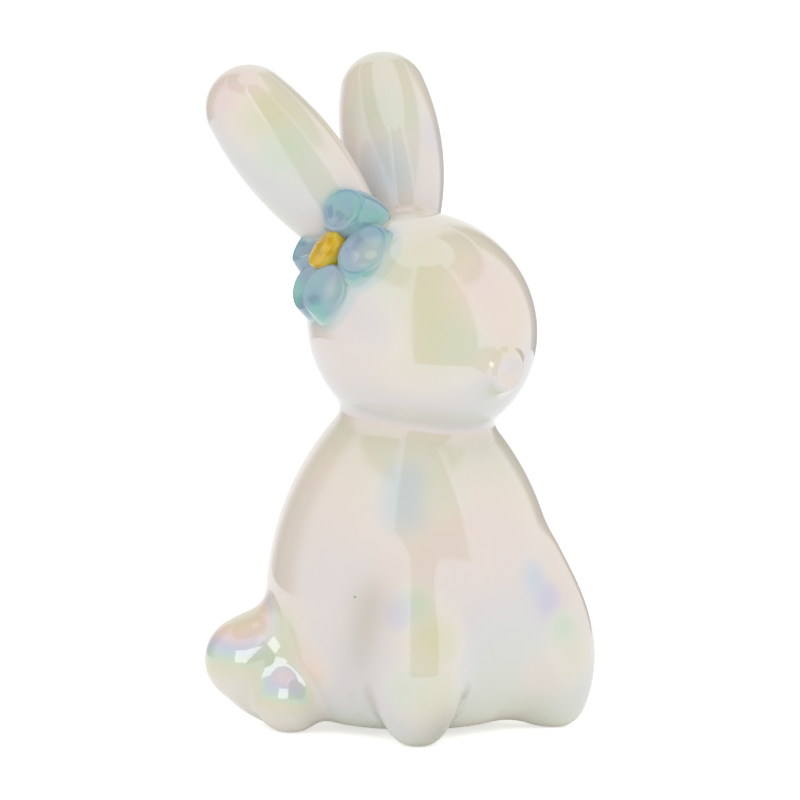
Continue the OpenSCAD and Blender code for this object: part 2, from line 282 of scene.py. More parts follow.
def figure_field(p):
    field = {name: make(p) for name, make in PIECES.items()}
    lower = field["body_casting"]
    for name in ("front_leg_right", "front_leg_left"):
        lower = melt(lower, field[name], LEG_FILLET)
    for name in ("haunch_right", "haunch_left", "tail"):
        lower = melt(lower, field[name], HAUNCH_FILLET)
    for name in ("hind_foot_right", "hind_foot_left"):
        lower = melt(lower, field[name], FOOT_FILLET)
    upper = melt(field["head_casting"], field["nose_stub"], NOSE_FILLET)
    upper = melt_inner(upper, -ball(p, NOSE_AT + NOSE_DISH_OUT * NOSE_AXIS, NOSE_DISH_R), NOSE_LIP)
    for name in ("ear_right", "ear_left"):
        upper = melt(upper, field[name], EAR_FILLET)
    return melt_inner(melt(lower, upper, NECK_FILLET), -p[..., 2], WIPED_EDGE)


BELLY_FRONT = np.array([[0, -BELLY_R, BELLY_Z]])
print("skin at the belly's front lies", figure_field(BELLY_FRONT).round(3), "mm from the pear's own")

# %% [markdown]
# A surface net turns the field into a mesh: space is divided into small boxes, every box
# that the skin passes through gets one point, and points of neighbouring boxes are joined
# into four-sided faces. Each point is then moved exactly on to the skin, and the net is
# relaxed, so the faces come out even. This is quicker and cleaner here than a voxel remesh
# of joined parts, because the field is known exactly everywhere.

# %% Surface net
def surface_net(field, low, high, step):
    """The surface of a field inside a box, as points and the four-sided faces between them."""
    axes = [np.arange(a, b + step, step) for a, b in zip(low, high)]
    p = np.stack(np.meshgrid(*axes, indexing="ij"), -1)
    values = np.stack([field(layer) for layer in p])
    solid, cells = values < 0, np.array(values.shape) - 1
    count = int(cells.prod())
    total, hits, quads = np.zeros((3, count)), np.zeros(count), []
    for a in range(3):
        b, c = (a + 1) % 3, (a + 2) % 3
        lower, upper = [slice(None)] * 3, [slice(None)] * 3
        lower[a], upper[a] = slice(0, -1), slice(1, None)
        lower, upper = tuple(lower), tuple(upper)
        crossed = solid[lower] != solid[upper]
        at, v0, v1 = np.argwhere(crossed), values[lower][crossed], values[upper][crossed]
        point = at.astype(float)
        point[:, a] += v0 / (v0 - v1)
        corners = []
        for db, dc in ((1, 1), (0, 1), (0, 0), (1, 0)):
            cell = at.copy()
            cell[:, b] -= db
            cell[:, c] -= dc
            index = np.ravel_multi_index(cell.T, cells)
            hits += np.bincount(index, minlength=count)
            for k in range(3):
                total[k] += np.bincount(index, point[:, k], minlength=count)
            corners.append(index)
        quad = np.stack(corners, 1)
        outside_first = ~solid[lower][crossed]
        quad[outside_first] = quad[outside_first][:, ::-1]
        quads.append(quad)
    used = hits > 0
    number = np.cumsum(used) - 1
    points = (total[:, used] / hits[used]).T * step + np.asarray(low, float)
    return points, number[np.concatenate(quads)]


def slope(field, p, e=0.01):
    return np.stack([(field(p + d) - field(p - d)) / (2 * e) for d in np.eye(3) * e], -1)


def onto(field, p, rounds=3):
    """Moves points on to a field's surface, a millimetre at most in a round."""
    for _ in range(rounds):
        g = slope(field, p)
        p = p - np.clip(field(p), -1, 1)[:, None] * g / np.maximum((g * g).sum(-1), 1e-6)[:, None]
    return p


def relax(points, quads, field, rounds=4):
    """Draws each point towards the middle of its neighbours and back on to the skin."""
    ends = np.concatenate([quads[:, [k, (k + 1) % 4]] for k in range(4)])
    ends = np.concatenate([ends, ends[:, ::-1]])
    near = np.bincount(ends[:, 0], minlength=len(points))
    for _ in range(rounds):
        mean = np.stack([np.bincount(ends[:, 0], points[ends[:, 1], k], minlength=len(points))
                         for k in range(3)], -1) / near[:, None]
        points = onto(field, 0.4 * points + 0.6 * mean, 1)
    return onto(field, points, 2)


print("slope of the belly's skin:", slope(figure_field, BELLY_FRONT).round(3))

# %% The net of the figure
STEP = 1.25
NET_LOW, NET_HIGH = (-76, -62, -4), (76, 78, 256)
points, quads = surface_net(figure_field, NET_LOW, NET_HIGH, STEP)
points = relax(points, quads, figure_field)
print("skin:", len(points), "points,", len(quads), "faces")

# %% [markdown]
# Now the skin is cut. A joint runs where two pieces' fields are equal, and round the neck it
# is a tilted plane. Points close to a joint are pulled on to it, and faces that still cross
# it are divided, so both sides of the cut share the very same points and no gap can show.

# %% Points and faces on a joint
def on_line(p, line):
    """Moves points to where the skin and the joint's surface meet."""
    for _ in range(5):
        a, b = slope(figure_field, p), slope(line, p)
        fa, fb = figure_field(p), line(p)
        aa, ab, bb = (a * a).sum(-1), (a * b).sum(-1), (b * b).sum(-1)
        det = np.maximum(aa * bb - ab * ab, 1e-4)
        u, v = (bb * fa - ab * fb) / det, (aa * fb - ab * fa) / det
        move = u[:, None] * a + v[:, None] * b
        size = np.linalg.norm(move, axis=1, keepdims=True)
        p = p - move * np.minimum(1, 0.6 / np.maximum(size, 1e-9))
    return p


def divide(triangle, value, middle):
    """Divides one triangle that a joint crosses. Returns its parts with the side each is on."""
    v = [value[i] for i in triangle]
    zero = [k for k in range(3) if v[k] == 0]
    if zero:
        z, a, b = (triangle[(zero[0] + k) % 3] for k in range(3))
        m = middle[min(a, b), max(a, b)]
        return [((z, a, m), value[a]), ((z, m, b), value[b])]
    above = [value > 0 for value in v]
    lone = [k for k in range(3) if above.count(above[k]) == 1][0]
    a, b, c = (triangle[(lone + k) % 3] for k in range(3))
    m, n = middle[min(a, b), max(a, b)], middle[min(a, c), max(a, c)]
    return [((a, m, n), value[a]), ((m, b, c, n), value[b])]


crossed_once = divide((0, 1, 2), [1, -1, -1], {(0, 1): 3, (0, 2): 4})
print("a triangle that a joint crosses falls in", len(crossed_once), "parts")

# %% Cutting along a joint
def cut(points, faces, tags, line, olds, new):
    """Faces tagged with one of the olds, on the line's negative side, become tagged new."""
    value = line(points)
    close = np.abs(value) < 3 * STEP
    moved = np.where(close)[0]
    g, n = slope(line, points[moved]), slope(figure_field, points[moved])
    n /= np.linalg.norm(n, axis=1, keepdims=True)
    g -= (g * n).sum(-1, keepdims=True) * n
    touching = moved[np.abs(value[moved]) < 0.32 * STEP * np.linalg.norm(g, axis=1)]
    in_old = np.zeros(len(points), bool)
    in_old[[i for f, t in zip(faces, tags) if t in olds for i in f]] = True
    touching = touching[in_old[touching]]
    points = points.copy()
    points[touching] = on_line(points[touching], line)
    value[touching] = 0
    sign = np.sign(value)
    parts, part_tags, crossing = [], [], []
    for face, tag in zip(faces, tags):
        s = [sign[i] for i in face]
        if tag not in olds or min(s) >= 0:
            parts.append(face)
            part_tags.append(tag)
        elif max(s) <= 0:
            parts.append(face)
            part_tags.append(new)
        elif len(face) == 3:
            crossing.append((face, tag))
        else:
            a, b, c, d = face
            halves = ([(a, b, c), (a, c, d)] if (s[0] == 0) + (s[2] == 0) >= (s[1] == 0) + (s[3] == 0)
                      else [(b, c, d), (b, d, a)])
            crossing += [(half, tag) for half in halves]
    edges = sorted({(min(f[k], f[k - 1]), max(f[k], f[k - 1])) for f, tag in crossing for k in range(3)
                    if sign[f[k]] * sign[f[k - 1]] < 0})
    middle = {edge: len(points) + k for k, edge in enumerate(edges)}
    if edges:
        i, j = np.array(edges).T
        share = value[i] / (value[i] - value[j])
        extra = points[i] + share[:, None] * (points[j] - points[i])
        points = np.concatenate([points, on_line(extra, line)])
    for face, tag in crossing:
        s = [sign[i] for i in face]
        if min(s) >= 0 or max(s) <= 0:
            parts.append(face)
            part_tags.append(new if min(s) < 0 else tag)
            continue
        for part, side in divide(face, value, middle):
            parts.append(part)
            part_tags.append(new if side < 0 else tag)
    return points, parts, part_tags


def joint(name):
    """Negative where a point is nearer to this piece than to any other."""
    def line(p):
        others = [make(p) for other, make in PIECES.items() if other != name]
        return PIECES[name](p) - np.minimum.reduce(others)
    return line


print("the tail's joint is", joint("tail")(TAIL_AT[None]).round(1), "mm away from the tail's middle")

# %% All the joints
faces, tags = [tuple(q) for q in quads.tolist()], ["body_casting"] * len(quads)
points, faces, tags = cut(points, faces, tags, lambda p: (NECK_AT - p) @ NECK_UP,
                          {"body_casting"}, "head_casting")
for name in ("front_leg_right", "front_leg_left", "haunch_right", "haunch_left", "tail",
             "hind_foot_right", "hind_foot_left"):
    points, faces, tags = cut(points, faces, tags, joint(name), set(tags) - {"head_casting"}, name)
for name in ("nose_stub", "ear_right", "ear_left"):
    points, faces, tags = cut(points, faces, tags, joint(name), {"head_casting"}, name)
DRAIN_R, DRAIN_TOP = 5.0, 12


def drain(p):
    return np.maximum(np.hypot(p[..., 0], p[..., 1]) - DRAIN_R, p[..., 2] - DRAIN_TOP)


points, faces, tags = cut(points, faces, tags, drain, {"body_casting"}, "drain")
print({name: tags.count(name) for name in sorted(set(tags))})

# %% [markdown]
# A piece that has been cut loose is still open where it was joined. Each opening is closed
# with a seat that lies on the surface of the piece it was pressed against, so a leg taken
# off the body shows the hollow that the belly left in it. The body has one more opening, the
# drain hole, which leads into the hollow that slip casting leaves.

# %% Closing the joints
def rims(faces):
    """The open edges of a piece, followed round into loops."""
    ahead = {}
    for face in faces:
        for k in range(len(face)):
            ahead[face[k - 1], face[k]] = True
    after = {a: b for a, b in ahead if (b, a) not in ahead}
    loops = []
    while after:
        start, here = next(iter(after.items()))
        loop = [start]
        del after[start]
        while here != start:
            loop.append(here)
            here = after.pop(here)
        loops.append(loop)
    return loops


def close(points, loop, rows, tip):
    """Adds rings of points behind a rim and a last point, and gives the faces between them."""
    count, start = len(loop), len(points)
    end = start + len(rows) * count
    rings = [loop] + [list(range(k, k + count)) for k in range(start, end, count)]
    made = [(near[k], near[k - 1], far[k - 1], far[k])
            for near, far in zip(rings, rings[1:]) for k in range(count)]
    made += [(rings[-1][k], rings[-1][k - 1], end) for k in range(count)]
    return np.concatenate([points] + rows + [[tip]]), made


SEAT_RINGS = 7


def seat(points, loop, bed):
    """A closing surface that runs from a rim to its middle and lies on the bed."""
    rim = points[loop]
    centre = onto(bed, rim.mean(0)[None], 6)
    rows = []
    for k in range(1, SEAT_RINGS):
        share = k / SEAT_RINGS
        row = rim * (1 - share) + centre * share
        rows.append(row + min(1, 2.5 * share) * (onto(bed, row, 4) - row))
    return close(points, loop, rows, centre[0])


def neck_bed(p):
    return (p - NECK_AT) @ NECK_UP


FLOOR_TOP, FLOOR_R, WALL, HOLLOW_TOP = 6.0, 24.0, 4.2, 114.0


def hollow(points, loop):
    """The drain hole's wall and the hollow behind it, turned round the body's axis."""
    turns = np.arctan2(points[loop][:, 1], points[loop][:, 0])
    rings = [(FLOOR_TOP, DRAIN_R), (FLOOR_TOP + 0.3, FLOOR_R)]
    for z in np.linspace(9, 112, 18):
        side_r = FLANK_R if z > BELLY_Z else RUMP_R
        rings.append((z, BELLY_R - WALL - side_r + math.sqrt(side_r**2 - (z - BELLY_Z) ** 2)))
    rows = [np.stack([r * np.cos(turns), r * np.sin(turns), np.full(len(turns), z)], 1)
            for z, r in rings]
    return close(points, loop, rows, [0, 0, HOLLOW_TOP])


def foot_bed(side):
    return lambda p: np.minimum(torso_field(p), haunch_field(p, side))


def bed_of(name, rim):
    """What a piece was pressed against: the neck's plane, the head, the body or a haunch."""
    if np.abs(neck_bed(rim)).max() < 0.2:
        return neck_bed
    if name.startswith("hind_foot"):
        return foot_bed(RIGHT if name.endswith("right") else LEFT)
    return head_field if rim[:, 2].mean() > NECK_AT[2] else torso_field


body_faces = [face for face, tag in zip(faces, tags) if tag == "body_casting"]
print("points round each opening of the body:", [len(loop) for loop in rims(body_faces)])

# %% [markdown]
# Blender gets each piece in metres. The shading normals of the glazed skin come straight from
# the field's slope, so the gloss runs over every joint without a kink, and the seats keep
# flat normals of their own.

# %% A piece for Blender
def to_metres(p):
    return p / 1000 + np.array([0, axis_y, 0])


def to_millimetres(p):
    return (p - [0, axis_y, 0]) * 1000


def keep(mesh, name, values):
    """Keeps a number on every point of a mesh, for its material."""
    mesh.attributes.new(name, "FLOAT", "POINT").data.foreach_set("value", values)


def build(name, points, faces, normals=None, glazed=0, stands_for=None):
    """A mesh object that rides with the part. The first faces, as many as glazed, use normals."""
    mesh = bpy.data.meshes.new(name)
    mesh.from_pydata(to_metres(points).tolist(), [], faces)
    mesh.polygons.foreach_set("use_smooth", [True] * len(faces))
    if normals is not None:
        corner = np.empty(len(mesh.loops), int)
        mesh.loops.foreach_get("vertex_index", corner)
        own = np.array([v.vector[:] for v in mesh.corner_normals])
        skin = sum(len(f) for f in faces[:glazed])
        own[:skin] = normals[corner[:skin]]
        if glazed < len(faces):
            flat = np.array([p.normal[:] for p in mesh.polygons])
            sizes = [len(f) for f in faces[glazed:]]
            own[skin:] = np.repeat(flat[glazed:], sizes, axis=0)
        mesh.normals_split_custom_set(own.tolist())
    piece = bpy.data.objects.new(name, mesh)
    bpy.context.scene.collection.objects.link(piece)
    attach(piece, "root")
    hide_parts(stands_for or name)
    return piece


print("the body's axis stands at", to_metres(np.zeros(3)).round(5))

# %% Making the glazed pieces
glazed_pieces = {}
for name in PIECES:
    own = [face for face, tag in zip(faces, tags) if tag == name]
    used = sorted({i for face in own for i in face})
    number = {old: new for new, old in enumerate(used)}
    own = [tuple(number[i] for i in face) for face in own]
    places = points[used]
    loops = rims(own)
    skin, skin_faces = len(places), len(own)
    for loop in loops:
        rim = places[loop]
        if name == "body_casting" and np.hypot(rim[:, 0], rim[:, 1]).max() < DRAIN_R + 1:
            places, closing = hollow(places, loop)
        else:
            places, closing = seat(places, loop, bed_of(name, rim))
        own += closing
    normals = slope(figure_field, places[:skin])
    normals /= np.linalg.norm(normals, axis=1, keepdims=True)
    normals = np.concatenate([normals, np.zeros((len(places) - skin, 3))])
    glazed_pieces[name] = build("glazed_" + name, places, own, normals, skin_faces, name)

# %% [markdown]
# The flower is pressed clay, laid on the head beside the right ear. It has a frame of its own:
# a spot on the head, the direction that it faces, which nods a little forwards, and two
# directions across it. Every petal is placed and tilted in that frame, so the whole flower can
# be moved or nodded with one value.

# %% The flower's frame
FLOWER_OUT = unit([-0.737, 0.3205, 0.595])
FLOWER_DOWN = unit(np.cross(np.cross(FLOWER_OUT, [0, 0, -1.0]), FLOWER_OUT))
FLOWER_AHEAD = np.cross(FLOWER_OUT, FLOWER_DOWN)
FLOWER_PROUD, FLOWER_RAISED, FLOWER_FORWARD, FLOWER_NOD = 5, 1.7, 1.0, math.radians(8)
BED_FILLET, WELL_OUTSIDE = 6, 60


def flower_bed(p):
    """What the flower lies on: the head and the right ear's root, with glaze between them."""
    return melt(head_field(p), ear_field(p, RIGHT), BED_FILLET)


def march(p, direction, field, most=14.0):
    """How far each point is from the field's surface along a direction."""
    t = np.zeros(len(p))
    for _ in range(60):
        t = np.clip(t + field(p + t[:, None] * direction), -most, most)
    return t


HEAD_SPOT = HEAD_AT + WELL_OUTSIDE * FLOWER_OUT
HEAD_SPOT = HEAD_SPOT - march(HEAD_SPOT[None], -FLOWER_OUT, head_field, WELL_OUTSIDE)[0] * FLOWER_OUT
FLOWER_AT = (HEAD_SPOT + FLOWER_PROUD * FLOWER_OUT - FLOWER_RAISED * FLOWER_DOWN
             + FLOWER_FORWARD * FLOWER_AHEAD)
FLOWER_UP = math.cos(FLOWER_NOD) * FLOWER_OUT + math.sin(FLOWER_NOD) * FLOWER_AHEAD
FLOWER_SIDE = np.cross(FLOWER_UP, FLOWER_DOWN)
print("flower on the head at", HEAD_SPOT.round(2), "facing", FLOWER_UP.round(3))

# %% [markdown]
# The petals and the yellow centre are stacks of rings of points. One helper joins the rings
# into a closed piece, and keeps two numbers on every point for the material: how close it
# lies to the bed, and how close to the middle of the flower.

# %% Joining rings into a piece
RING_POINTS, EDGE_REACH, HEART_REACH = 96, 2.2, 14
AROUND = np.arange(RING_POINTS) * 2 * math.pi / RING_POINTS


def finish_rings(name, rows, middle, under):
    count, last, made = RING_POINTS, (len(rows) - 1) * RING_POINTS, []
    for a in range(0, last, count):
        made += [(a + (i - 1) % count, a + count + (i - 1) % count, a + count + i, a + i)
                 for i in range(count)]
    made += [(last + count, (i - 1) % count, i) for i in range(count)]
    made += [(last + count + 1, last + i, last + (i - 1) % count) for i in range(count)]
    places = np.concatenate(rows + [middle[None], under[None]])
    piece = build("glazed_" + name, places, made, stands_for=name)
    keep(piece.data, "edge", np.clip(1 - flower_bed(places) / EDGE_REACH, 0, 1))
    from_heart = np.linalg.norm(places - FLOWER_AT, axis=1)
    keep(piece.data, "heart", np.clip(1.5 - from_heart / HEART_REACH, 0, 1))
    return piece


print("rings of", RING_POINTS, "points, the flower's middle is", flower_bed(FLOWER_AT[None]).round(1),
      "mm off its bed")

# %% [markdown]
# A petal is a shallow dish with a rolled rim, pressed over a fingertip. It is built as rings
# of points round its own middle: the dish first, then the roll, and last a skirt that drops
# on to the head and spreads there, where the glaze gathers. A skirt found by marching down to
# the head is surer than a boolean, and it gives the soft foot that a boolean can't.

# %% The parts of a petal
PETAL_RIM, PETAL_DISH, PETAL_DROOP, LAST_ROLL = 1.4, 2.2, 0.014, math.radians(62)
DISH_RINGS, ROLL_RINGS, SKIRT_RINGS = 16, 6, 12


def petal_frame(turn_deg, rise_deg, twist_deg):
    """A petal's directions: outwards over the flower, then its own along, across and up."""
    turn, rise, twist = (math.radians(v) for v in (turn_deg, rise_deg, twist_deg))
    outwards = math.cos(turn) * FLOWER_DOWN + math.sin(turn) * FLOWER_SIDE
    along = math.cos(rise) * outwards + math.sin(rise) * FLOWER_UP
    up = math.cos(rise) * FLOWER_UP - math.sin(rise) * outwards
    side = np.cross(up, along)
    side, up = (math.cos(twist) * side + math.sin(twist) * up,
                math.cos(twist) * up - math.sin(twist) * side)
    return outwards, along, side, up


def petal_outline(number, length, width):
    """A petal seen from above: broader towards its tip, and a little uneven as pressed clay is."""
    outline = np.stack([length / 2 * np.cos(AROUND) * (1 + 0.04 * np.cos(AROUND)),
                        width / 2 * np.sin(AROUND) * (1 + 0.14 * np.cos(AROUND))], 1)
    uneven = 1 + 0.014 * np.sin(3 * AROUND + number) + 0.010 * np.sin(5 * AROUND + 2 * number)
    return outline * uneven[:, None]


def petal_skirt(edge, flat, up):
    """Rings from the rolled rim down to the bed. The foot spreads widest towards the face."""
    spread = 1.4 + 2.6 * np.clip(0.4 + 0.9 * (flat @ FLOWER_AHEAD), 0, 1)
    foot = edge + spread[:, None] * flat
    foot = foot - np.maximum(march(foot, -up, flower_bed) + 0.6, 0.3)[:, None] * up
    drop = ((edge - foot) @ up)[:, None]
    bend = edge + 0.55 * drop * (math.cos(LAST_ROLL) * flat / 1.2 - math.sin(LAST_ROLL) * up)
    rows = []
    for step in range(1, SKIRT_RINGS + 1):
        t = step / SKIRT_RINGS
        rows.append((1 - t) ** 2 * edge + 2 * t * (1 - t) * bend + t * t * foot)
    return rows


print("the first petal's frame:", [v.round(2).tolist() for v in petal_frame(30, -16, -14)])

# %% Petals
def petal(number, turn_deg, rise_deg, twist_deg, lift, out_mm, length, width):
    outwards, along, side, up = petal_frame(turn_deg, rise_deg, twist_deg)
    raised = lift + out_mm * math.tan(math.radians(rise_deg))
    heart = FLOWER_AT + out_mm * outwards + raised * FLOWER_UP
    outline = petal_outline(number, length, width)
    size = np.linalg.norm(outline, axis=1)
    droop = -PETAL_DROOP * np.maximum(outline[:, 0], 0) ** 2
    rows = []
    for share in np.linspace(0.05, 1, DISH_RINGS):
        inner = outline * (1 - PETAL_RIM / size)[:, None] * share
        depth = droop * share**2 - PETAL_DISH * (1 - share**2) ** 1.3
        rows.append(heart + inner[:, :1] * along + inner[:, 1:] * side + depth[:, None] * up)
    for step in range(1, ROLL_RINGS + 1):
        roll = step * LAST_ROLL / ROLL_RINGS
        grow = outline * (1 + PETAL_RIM * (math.sin(roll) - 1) / size)[:, None]
        depth = PETAL_RIM * (math.cos(roll) - 1) + droop
        rows.append(heart + grow[:, :1] * along + grow[:, 1:] * side + depth[:, None] * up)
    flat = outline[:, :1] * along + outline[:, 1:] * side
    flat = flat / np.linalg.norm(flat, axis=1, keepdims=True)
    rows += petal_skirt(rows[-1], flat, up)
    name = "petal_%d" % number
    return finish_rings(name, rows, heart - PETAL_DISH * up, rows[-1].mean(0) - 2 * up)


# Each row is a petal: its turn, rise and twist in degrees, then how far it is lifted and moved
# out, its length and its width in millimetres.
PETAL_ROWS = [
    (30, -16, -14, 1.0, 15.0, 20.5, 20.5),
    (116, -24, -2, 2.2, 14.6, 20.5, 25),
    (183, 3, 26, 4.2, 15.5, 18, 16.5),
    (268, 8, 0, -0.2, 13.5, 17, 20),
    (340, -8, -8, -1.0, 15, 21, 18),
]
petals = [petal(number, *row) for number, row in enumerate(PETAL_ROWS, 1)]
print([len(piece.data.polygons) for piece in petals], "faces in the petals")

# %% [markdown]
# The yellow centre is a domed button, a little narrower than long, because it was pressed in
# between the petals. It is a dome of rings, a rolled edge and a straight wall that goes down
# between the petals into the head.

# %% Yellow centre
BUTTON_R, BUTTON_EDGE, BUTTON_DOME, BUTTON_ROLL_R = 8.4, 2.6, 1.4, 1.2
BUTTON_NARROW, BUTTON_SHIFT = 0.76, 1.6


def centre_button():
    ring = np.cos(AROUND)[:, None] * FLOWER_DOWN + BUTTON_NARROW * np.sin(AROUND)[:, None] * FLOWER_SIDE
    heart = FLOWER_AT - BUTTON_SHIFT * FLOWER_SIDE
    flat_r, rows = BUTTON_R - BUTTON_ROLL_R, []
    for share in np.linspace(0.08, 1, 14):
        height = BUTTON_EDGE + BUTTON_DOME * (1 - share**2)
        rows.append(heart + share * flat_r * ring + height * FLOWER_UP)
    for step in range(1, 6):
        roll = step * math.pi / 2 / 5
        rows.append(heart + (flat_r + BUTTON_ROLL_R * math.sin(roll)) * ring
                    + (BUTTON_EDGE + BUTTON_ROLL_R * (math.cos(roll) - 1)) * FLOWER_UP)
    for step in range(1, 6):
        rows.append(heart + BUTTON_R * ring + (BUTTON_EDGE - BUTTON_ROLL_R - step * 1.3) * FLOWER_UP)
    return finish_rings("flower_centre", rows, heart + (BUTTON_EDGE + BUTTON_DOME) * FLOWER_UP,
                        heart - 2.5 * FLOWER_UP)


button = centre_button()
print("centre:", len(button.data.polygons), "faces")

# %% [markdown]
# The pearl lustre is a very thin film fired on to the white glaze. Its colour depends on its thickness,
# which changes slowly over the piece, and on the angles at which light falls on it and is seen, so much
# of it is a sheen. Here that sheen is painted in from which way the surface faces and where it lies, so
# every point of the skin gets two numbers, whose angle is the place of its tint in the row of pearl
# colours and whose length is how strongly it shows. The material turns them into colours. Where one tint
# shows plainest in this view, a spot paints it in, partly the glaze's own tint and partly painted sheen
# and painted reflection.

# %% Where the lustre shows
PEARL_ROW = {"yellow": 0.0, "peach": 0.17, "pink": 0.33, "lilac": 0.5, "blue": 0.64, "green": 0.82}
# Under each tint stand its spots of painted sheen and tint: the middle and the radius in millimetres, and
# the strength.
PEARL_TINT_AND_SHEEN_SPOTS = {
    "yellow": [(-26, -34, 160, 17, 1.0), (-23, -24, 184, 12, 0.8), (-44, 36, 234, 9, 1.0),
               (-30, -30, 113, 8, 0.1), (-38, -54, 42, 8, 1.0), (-40, -54, 22, 8, 0.8),
               (30, -58, 30, 8, 0.5), (-54, 14, 38, 9, 1.0)],
    "peach": [(2, -47, 162, 11, 0.6), (-52, 0, 27, 6, 0.9)],
    "pink": [(-8, -47, 168, 12, 0.8), (-40, -8, 148, 12, 0.3), (-47, 48, 244, 9, 0.9),
             (-12, -50, 75, 14, 0.4), (20, -52, 24, 8, 0.3), (-34, 16, 184, 9, 0.5)],
    "lilac": [(-40, -18, 166, 12, 0.6), (-37, -27, 156, 9, 0.6), (-22, -12, 190, 9, 0.5),
              (30, 20, 222, 8, 0.5), (-46, -44, 52, 5, 1.0), (20, -54, 52, 5, 1.0),
              (-36, 22, 203, 8, 0.5)],
    "blue": [(8, 23, 214, 9, 0.7), (7, 18, 208, 7, 0.7), (-30, -29, 100, 8, 0.8),
             (-31, -30, 88, 8, 0.9), (14, -53, 60, 5, 0.9)],
    "green": [(-34, -22, 172, 10, 0.6), (-18, -46, 155, 10, 0.9), (-40, 27, 222, 9, 0.9),
              (-36, 20, 208, 9, 0.6), (20, 26, 230, 8, 0.5), (12, 36, 233, 9, 0.5),
              (-21, -40, 93, 7, 0.2), (-43, -48, 54, 6, 1.0), (-48, -50, 24, 7, 0.6),
              (27, -56, 40, 5, 1.0)],
}
# Each patch of painted shade, an olive darkening in the join behind the right front leg and low by its
# paw, has its middle and radius in millimetres, and how dark it looks.
PAINTED_SHADE_PATCHES = [((-48, -30, 56), 9, 0.25), ((-49, -29, 44), 10, 0.3), ((-50, -27, 32), 9, 0.2),
         ((-33, -47, 9), 9, 0.9)]
SPOTS = np.array([(PEARL_ROW[tint] * 2 * math.pi, *spot)
                  for tint, spots in PEARL_TINT_AND_SHEEN_SPOTS.items() for spot in spots])
SPOT_TURN, SPOT_AT, SPOT_R, SPOT_SHOW = SPOTS[:, 0], SPOTS[:, 1:4], SPOTS[:, 4], SPOTS[:, 5]
print(len(SPOTS), "spots of tint and", len(PAINTED_SHADE_PATCHES), "patches_of_painted_shade")

# %% The lustre at a point
SLOW_WAVES = [((0.031, 0.017, 0.041), 0.6), ((-0.023, 0.038, 0.027), 2.1),
              ((0.012, -0.044, 0.052), 4.0)]


def lustre(p, n):
    """The two numbers for points with outward normals: a weighted mean of a faint tint that drifts over
    the whole skin, of the bands that ring the haunches and hind feet, and of the spots. All three are
    painted sheen as well as tint, since they follow the skin's normals and places."""
    slow = sum(np.sin(p @ np.array(way) + start) for way, start in SLOW_WAVES) / 3
    drift = 2 * math.pi * (0.42 - 0.5 * n[:, 2] + 0.2 * slow)
    low = np.minimum.reduce([make(p) for name, make in PIECES.items()
                             if name.startswith(("haunch", "hind_foot"))])
    near = np.clip(1 - low / 5, 0, 1)
    bands = 2 * math.pi * np.clip(0.72 - 0.9 * n[:, 2] + 0.2 * n[:, 0] * np.sign(p[:, 0]), 0.02, 1)
    band_show = 0.75 * np.clip(2.6 * (n[:, 2:] + 0.45), 0, 1)
    spots = np.exp(-((p[:, None, :] - SPOT_AT[None]) ** 2).sum(-1) / SPOT_R[None] ** 2)
    share = np.concatenate([0.35 * (1 - near)[:, None], 1.5 * near[:, None], spots], 1)
    turns = np.concatenate([drift[:, None], bands[:, None], np.broadcast_to(SPOT_TURN, spots.shape)], 1)
    shows = np.concatenate([np.full((len(p), 1), 0.3), band_show,
                            np.broadcast_to(SPOT_SHOW, spots.shape)], 1)
    pair = [(share * shows * np.cos(turns)).sum(1), (share * shows * np.sin(turns)).sum(1)]
    return np.stack(pair, 1) / share.sum(1, keepdims=True)


print("lustre at the belly's front:", lustre(BELLY_FRONT, np.array([[0, -1.0, 0]])).round(2))

# %% [markdown]
# Each glazed piece now gets its numbers: the film's pair, which holds painted sheen as well as tint, how
# much painted shade darkens it, and how much of the petals' blue has bled into the glaze beside them,
# which falls off within a millimetre or two of the nearest petal's foot.

# %% Lustre on the glazed pieces
BLEED_REACH = 0.0012
petal_points = np.array([v.co[:] for piece in petals for v in piece.data.vertices
                         if piece.data.attributes["edge"].data[v.index].value > 0.75])
petal_tree = KDTree(len(petal_points))
for k, spot in enumerate(petal_points):
    petal_tree.insert(spot, k)
petal_tree.balance()
for piece in glazed_pieces.values():
    mesh = piece.data
    in_metres = np.array([v.co[:] for v in mesh.vertices])
    p = to_millimetres(in_metres)
    n = slope(figure_field, p)
    n /= np.maximum(np.linalg.norm(n, axis=1, keepdims=True), 1e-6)
    pair = lustre(p, n)
    film = mesh.attributes.new("film", "FLOAT_VECTOR", "POINT")
    film.data.foreach_set("vector", np.concatenate([pair, np.zeros((len(p), 1))], 1).ravel())
    # Painted shade: the patches darken the glaze in the join behind the right front leg and low by its
    # paw.
    keep(mesh, "painted_shade", sum(darkness * np.exp(-((p - at) ** 2).sum(1) / r**2) for at, r, darkness in PAINTED_SHADE_PATCHES))
    keep(mesh, "bleed", [math.exp(-(petal_tree.find(spot)[2] / BLEED_REACH) ** 2) for spot in in_metres])
    print(piece.name, "lustre strength up to", round(float(np.linalg.norm(pair, axis=1).max()), 2))

# %% [markdown]
# Materials are built from nodes. A few helpers keep that short: one adds a node with its
# inputs, others stand for nodes that come up again and again, such as a sum or a mix.

# %% Helpers for shader nodes
def srgb(*color):
    """A colour as a picture gives it, 0 to 255, as the numbers that a shader takes."""
    shares = [v / 255 for v in color]
    return tuple(v / 12.92 if v <= 0.04045 else ((v + 0.055) / 1.055) ** 2.4 for v in shares)


